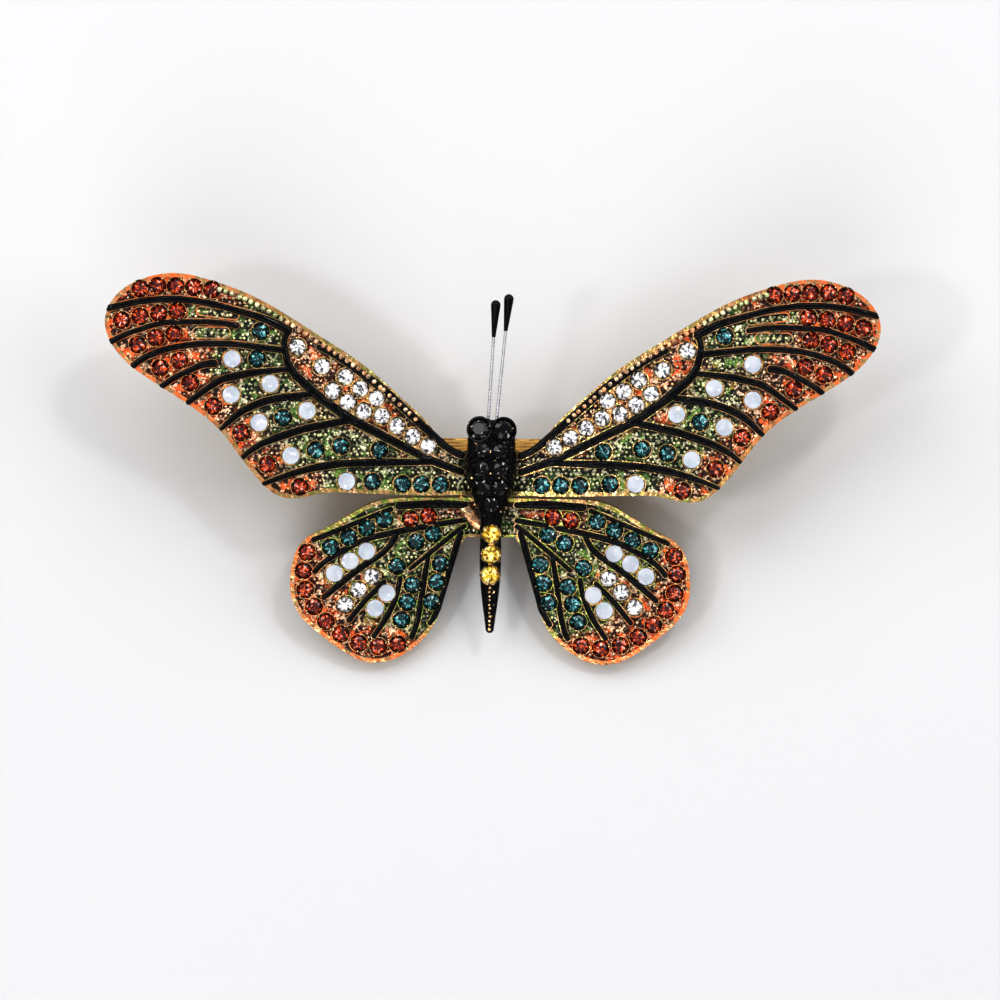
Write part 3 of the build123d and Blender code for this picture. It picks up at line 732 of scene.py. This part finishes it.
class BROOCH_OT_grains(bpy.types.Operator):
    """Scatters gold grains over the cells and strings beads along the leading edges"""

    bl_idname = "brooch.grains"
    bl_label = "Gold grains and edge beads"

    def execute(self, context):
        sizes = context.scene.brooch_sizes
        gold = lacquered_beads("bead_lacquer")
        random.seed(sizes.seed)
        bead = bead_master()
        for side, wing in WINGS:
            self.scatter(side, wing, bead, gold, sizes)
        for side in ("left", "right"):
            self.edge_row(side, bead, gold, sizes)
            self.leaf_beads(side, bead, gold)
        return {"FINISHED"}

    @staticmethod
    def add_beads(name, bead, gold, spots, tints):
        """Makes one piece of tinted beads."""
        maker = bmesh.new()
        add_copies(maker, bead, spots, tints=tints)
        piece(name, maker, gold, slot="gilt_casting", smooth=True)

    def leaf_beads(self, side, bead, gold):
        """Five round beads along each leaf-shaped cell."""
        pitch_share, radius, lift = 0.17, 0.24, 0.08
        tree = tree_of(f"{side}_forewing_colour_enamel")
        spots = []
        for middle, along, length in leaf_cells(side):
            for i in range(-2, 3):
                found = drop_on(tree, *(middle + along * length * pitch_share * i))
                if found:
                    place, normal = found
                    spots.append(facing_matrix(place + normal * lift * MM, normal, radius * MM, 0))
        tints = [self.bead_tint(0.0) for _ in spots]
        self.add_beads(f"{side}_forewing_leaf_beads", bead, gold, spots, tints)

    @staticmethod
    def bead_tint(warm):
        """Pale gold, leaning to peach or to lime."""
        lean = Vector((0.62, 0.74, 0.34)).lerp(Vector((1.0, 0.46, 0.20)), warm)
        return lean.lerp(Vector((1.0, 0.88, 0.66)), random.uniform(0.2, 0.85))

    def scatter(self, side, wing, bead, gold, sizes):
        """Grains in staggered rows over a wing's cells, each a little off its place."""
        stray, foot, gaps, beyond = 0.09, 0.16, 0.12, 2
        node = f"{side}_{wing}_colour_enamel"
        tree = tree_of(node)
        warmth = cell_warmth(side, wing)
        low, high = (flat_place(Vector(corner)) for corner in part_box(node))
        pitch, row_pitch = sizes.grain_pitch, sizes.grain_pitch * 0.87
        spots, tints = [], []
        for row in range(int((high[1] - low[1] + 2 * beyond) / row_pitch)):
            for column in range(int((high[0] - low[0]) / pitch)):
                out = low[0] + (column + 0.5 * (row % 2)) * pitch + random.uniform(-stray, stray)
                up = low[1] - beyond + row * row_pitch + random.uniform(-stray, stray)
                around = [drop_on(tree, out + foot * cos(turn), up + foot * sin(turn))
                          for turn in (0, tau / 3, 2 * tau / 3)]
                found = drop_on(tree, out, up)
                if not found or None in around or random.random() < gaps:
                    continue
                place, normal = found
                size = sizes.grain_radius * random.uniform(0.75, 1.15) * MM
                spots.append(facing_matrix(place + normal * size * 0.15, normal, size, random.uniform(0, 6)))
                tints.append(self.bead_tint(warmth(place)))
        self.add_beads(f"{side}_{wing}_grains", bead, gold, spots, tints)

    def edge_row(self, side, bead, gold, sizes):
        """Beads an even distance apart along a forewing's leading edge."""
        start, above, probe, stride = 4.2, 22.0, 0.04, 0.2
        rim_share, lift, peach_share = 0.3, 0.1, 0.74
        tree = tree_of(f"{side}_forewing")
        sign = 1 if side == "right" else -1
        brink = []
        out = start
        while out < sizes.edge_end:
            up = above
            while up > 0 and not drop_on(tree, sign * out, up):
                up -= probe
            brink.append((out, up))
            out += stride
        spots, tints, travelled = [], [], 0.0
        for (x0, y0), (x1, y1) in zip(brink, brink[1:]):
            step = Vector((x1 - x0, y1 - y0))
            travelled += step.length
            if travelled < sizes.edge_pitch:
                continue
            travelled -= sizes.edge_pitch
            inward = Vector((step.y, -step.x)).normalized() * sizes.edge_inset
            rim = drop_on(tree, sign * (x1 + inward.x * rim_share), y1 + inward.y * rim_share)
            height = ((rim[0] - PIN_LINE) / MM).dot(FACING) + lift
            spot = on_brooch(sign * (x1 + inward.x), y1 + inward.y, height)
            spots.append(facing_matrix(spot, FACING, sizes.edge_radius * MM, random.uniform(0, 6)))
            tints.append(self.bead_tint(1.0 if x1 < sizes.edge_end * peach_share else 0.0))
        self.add_beads(f"{side}_forewing_edge_beads", bead, gold, spots, tints)


class BROOCH_OT_stones(bpy.types.Operator):
    """Cuts and sets every stone, each turned its own way"""

    bl_idname = "brooch.stones"
    bl_label = "Stones"

    def execute(self, context):
        random.seed(context.scene.brooch_sizes.seed + 1)
        finishes = {kind: cut_glass(f"{kind}_glass", *glass) for kind, glass in CUT_GLASSES.items()}
        finishes["opal"] = milk_glass("opal_glass")
        cut, flat = stone_master(CUT_STONE), stone_master(FLAT_STONE)
        nodes = [(f"{side}_{wing}_{kind}", kind) for side, wing in WINGS for kind in STONE_KINDS]
        nodes += [("eye_stones", "jet"), ("thorax_stones", "jet"), ("abdomen_stones", "citrine")]
        grains, rings = [], {"dark": [], "gold": []}
        for node, kind in nodes:
            places = stone_places(node)
            spots = [facing_matrix(*stone, random.uniform(0, tau)) for stone in places]
            maker = bmesh.new()
            add_copies(maker, flat if kind == "opal" else cut, spots, [random.random() for _ in spots])
            made = piece(f"{node}_set", maker, finishes[kind], slot=f"{kind}_glass")
            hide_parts(node)
            if kind == "jet":
                continue
            grains += self.claws(places)
            below = (0.07 if kind == "opal" else 0.1) * MM
            # Topaz and teal stones sit in black rings, a painted shadow round their seats; the others in
            # gold ones.
            group = rings["dark" if kind in ("topaz", "teal") else "gold"]
            group += [facing_matrix(place - axis * below, axis, radius, 0) for place, axis, radius in places]
        gold = tuple(context.scene.brooch_colours.gold)
        for name, finish, slot in (("dark", black_enamel("seat_painted_shadow", 0.3, gold), "black_enamel"),
                                   ("gold", black_enamel("seat_gilt", 0.52, gold), "gilt_casting")):
            maker = bmesh.new()
            add_copies(maker, ring_master(), rings[name])
            piece(f"stone_rings_{name}", maker, finish, slot=slot)
        maker = bmesh.new()
        add_copies(maker, bead_master(), grains)
        piece("stone_claws", maker, gilt("claw_gilt", gold), slot="gilt_casting", smooth=True)
        return {"FINISHED"}

    @staticmethod
    def claws(places):
        """Four small claws pressed over each stone's edge."""
        beyond, below, size = 0.02 * MM, 0.16 * MM, 0.11 * MM
        spots = []
        for place, axis, radius in places:
            across = axis.orthogonal().normalized()
            start = random.uniform(0, tau)
            for i in range(4):
                arm = Matrix.Rotation(start + i * tau / 4, 3, axis) @ across
                spots.append(facing_matrix(place + arm * (radius + beyond) - axis * below, axis, size, 0))
        return spots


class BROOCH_OT_body(bpy.types.Operator):
    """Enamels the body black and beads it in black and gold"""

    bl_idname = "brooch.body"
    bl_label = "Body and antennae"

    def execute(self, context):
        colours = context.scene.brooch_colours
        gold = tuple(colours.gold)
        random.seed(context.scene.brooch_sizes.seed + 2)
        dress("body", black_enamel("body_black_enamel", 0.36, gold))
        for side in ("left", "right"):
            steel = drawn_metal(f"{side}_antenna_steel", (0.62, 0.62, 0.64), HEADWARD, 0.3)
            dress(f"{side}_antenna_wire", steel, smooth=True)
            dress(f"{side}_antenna_tip", black_enamel(f"{side}_antenna_black"), smooth=True)
        self.petal(colours)
        black_spots, gold_spots = self.bead_spots()
        for name, spots, finish, slot in (
            ("body_black_beads", black_spots, black_enamel("bead_black_enamel"), "black_enamel"),
            ("body_gold_beads", gold_spots, gilt("body_bead_gilt", gold), "gilt_casting"),
        ):
            maker = bmesh.new()
            add_copies(maker, bead_master(), spots)
            piece(name, maker, finish, slot=slot, smooth=True)
        return {"FINISHED"}

    @staticmethod
    def petal(colours):
        """The bent lump of gilt metal where the left wings meet the body."""
        length, width, height, bend = 2.2, 0.8, 0.5, 0.35
        maker = bmesh.new()
        bmesh.ops.create_icosphere(maker, subdivisions=4, radius=1)
        uppermost = max((flat_place(place) for place, _, _ in stone_places("abdomen_stones")),
                        key=lambda at: at[1])
        out, up = uppermost[0] - 2.1, uppermost[1] + 2.0
        found = drop_on(tree_of("left_hindwing", "left_hindwing_colour_enamel"), out, up)
        seat = found[0] if found else on_brooch(out, up, 4)
        along = (Vector((1, 0, 0)) * 0.62 - HEADWARD * 0.78).normalized()
        shape = Matrix((along * length, FACING.cross(along) * width, FACING * height)).transposed()
        for vertex in maker.verts:
            bent = vertex.co + Vector((0, bend * vertex.co.x**2, 0))
            vertex.co = seat + (shape @ bent + FACING * 0.1) * MM
        finish = gilt("petal_gilt", tuple(colours.rose_gold), tuple(colours.peach), 0.1,
                      on_brooch(0, 0, 4), (3, 12))
        piece("left_root_petal", maker, finish, slot="gilt_casting", smooth=True)

    @staticmethod
    def bead_spots():
        """Places of the black beads over the body and of the gold ones down its tail."""
        pitch, row_pitch, stray, margin = 0.46, 0.42, 0.08, 0.16
        tail, half_row, strays_gold = 5.2, 0.35, 0.08
        tree = tree_of("body")
        stones = [(Vector(flat_place(place)), radius / MM)
                  for node in ("eye_stones", "thorax_stones", "abdomen_stones")
                  for place, _, radius in stone_places(node)]
        low, high = (flat_place(Vector(corner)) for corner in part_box("body"))
        black, gold = [], []
        row = high[1]
        while row > low[1] - 1:
            for column in range(-6, 7):
                out = column * pitch + random.uniform(-stray, stray)
                up = row + random.uniform(-stray, stray)
                found = drop_on(tree, out, up)
                at = Vector((out, up))
                if not found or any((place - at).length < radius + margin for place, radius in stones):
                    continue
                size = random.uniform(0.15, 0.21) * MM
                on_tail = up < low[1] + tail
                if on_tail and abs(out) > half_row:
                    continue
                group = gold if on_tail or random.random() < strays_gold else black
                place, normal = found
                group.append(facing_matrix(place + normal * size * 0.25, normal, size, random.uniform(0, 6)))
            row -= row_pitch
        return black, gold


class BROOCH_OT_fittings(bpy.types.Operator):
    """Finishes the bar pin, its hinge and its catch"""

    bl_idname = "brooch.fittings"
    bl_label = "Bar pin"

    def execute(self, context):
        gold = tuple(context.scene.brooch_colours.bright_gold)
        for node, direction in (("bar", HEADWARD), ("hinge_bracket", FACING), ("hinge_rivet", (1, 0, 0)),
                                ("catch_housing", (1, 0, 0)), ("catch_barrel", (1, 0, 0))):
            dress(node, drawn_metal(f"{node}_gilt", gold, direction))
        dress("pin_stem", drawn_metal("pin_stem_steel", (0.78, 0.74, 0.68), (1, 0, 0), 0.16))
        return {"FINISHED"}


class BROOCH_OT_stage(bpy.types.Operator):
    """Lays a white floor and sets up soft lights and a camera that looks squarely at the face"""

    bl_idname = "brooch.stage"
    bl_label = "Stage"

    def execute(self, context):
        scene = context.scene
        maker = bmesh.new()
        bmesh.ops.create_grid(maker, x_segments=1, y_segments=1, size=1.5)
        mesh = as_mesh(maker, "floor")
        mesh.materials.append(paper_floor("white_card", (0.575, 0.574, 0.578)))
        floor = bpy.data.objects.new("floor", mesh)
        scene.collection.objects.link(floor)

        world = bpy.data.worlds.new("studio")
        scene.world = world
        world.use_nodes = True
        background = world.node_tree.nodes["Background"]
        background.inputs["Color"].default_value = (0.97, 0.98, 1.0, 1)
        background.inputs["Strength"].default_value = 0.5
        scene.view_settings.view_transform = "Standard"
        scene.view_settings.gamma = 0.66
        # Name, place in metres, width in metres and power in watts.
        for name, spot, size, power in (
            ("key", (-0.40, 0.30, 0.50), 0.54, 2.9),
            ("fill", (0.52, 0.10, 0.42), 0.54, 1.9),
            ("front", (-0.10, -0.54, 0.44), 0.54, 1.9),
            ("back", (0.16, 0.56, 0.46), 0.54, 1.8),
            ("glint_left", (-0.38, -0.14, 0.55), 0.08, 0.7),
            ("glint_right", (0.24, 0.30, 0.60), 0.08, 0.7),
        ):
            light = bpy.data.lights.new(name, "AREA")
            light.size = size
            light.energy = power
            lamp = bpy.data.objects.new(name, light)
            lamp.location = spot
            lamp.rotation_euler = (-Vector(spot)).to_track_quat("-Z", "Y").to_euler()
            scene.collection.objects.link(lamp)

        aim = on_brooch(0.9, -3.95, 5.0)
        distance, view_width, roll = 0.75, 100 * MM, radians(0.6)
        camera = bpy.data.cameras.new("camera")
        camera.sensor_width = 36
        camera.lens = camera.sensor_width * distance / view_width
        camera.clip_start, camera.clip_end = 0.01, 10
        watcher = bpy.data.objects.new("camera", camera)
        turn = Matrix((Vector((1, 0, 0)), HEADWARD, FACING)).transposed().to_4x4()
        stand = Matrix.Translation(aim + FACING * distance)
        watcher.matrix_world = stand @ turn @ Matrix.Rotation(roll, 4, "Z")
        scene.collection.objects.link(watcher)
        scene.camera = watcher
        return {"FINISHED"}


class BROOCH_PT_panel(bpy.types.Panel):
    """Lists the brooch's sizes, colours and pieces"""

    bl_idname = "BROOCH_PT_panel"
    bl_label = "Butterfly brooch"
    bl_space_type = "VIEW_3D"
    bl_region_type = "UI"
    bl_category = "Brooch"

    def draw(self, context):
        layout = self.layout
        for group in (context.scene.brooch_sizes, context.scene.brooch_colours):
            for name in group.__annotations__:
                layout.prop(group, name)
        for operator in OPERATORS:
            layout.operator(operator.bl_idname)


OPERATORS = (
    BROOCH_OT_castings, BROOCH_OT_veins, BROOCH_OT_cells, BROOCH_OT_grains, BROOCH_OT_stones,
    BROOCH_OT_body, BROOCH_OT_fittings, BROOCH_OT_stage,
)
CLASSES = (BroochSizes, BroochColours, *OPERATORS, BROOCH_PT_panel)


def register():
    """Adds the classes and their settings to the scene."""
    for cls in CLASSES:
        bpy.utils.register_class(cls)
    bpy.types.Scene.brooch_sizes = PointerProperty(type=BroochSizes)
    bpy.types.Scene.brooch_colours = PointerProperty(type=BroochColours)


def unregister():
    """Takes them away again."""
    del bpy.types.Scene.brooch_colours
    del bpy.types.Scene.brooch_sizes
    for cls in reversed(CLASSES):
        bpy.utils.unregister_class(cls)


def main():
    """Builds every piece and the stage."""
    register()
    for operator in OPERATORS:
        group, name = operator.bl_idname.split(".")
        getattr(getattr(bpy.ops, group), name)()


if __name__ == "__main__":
    main()
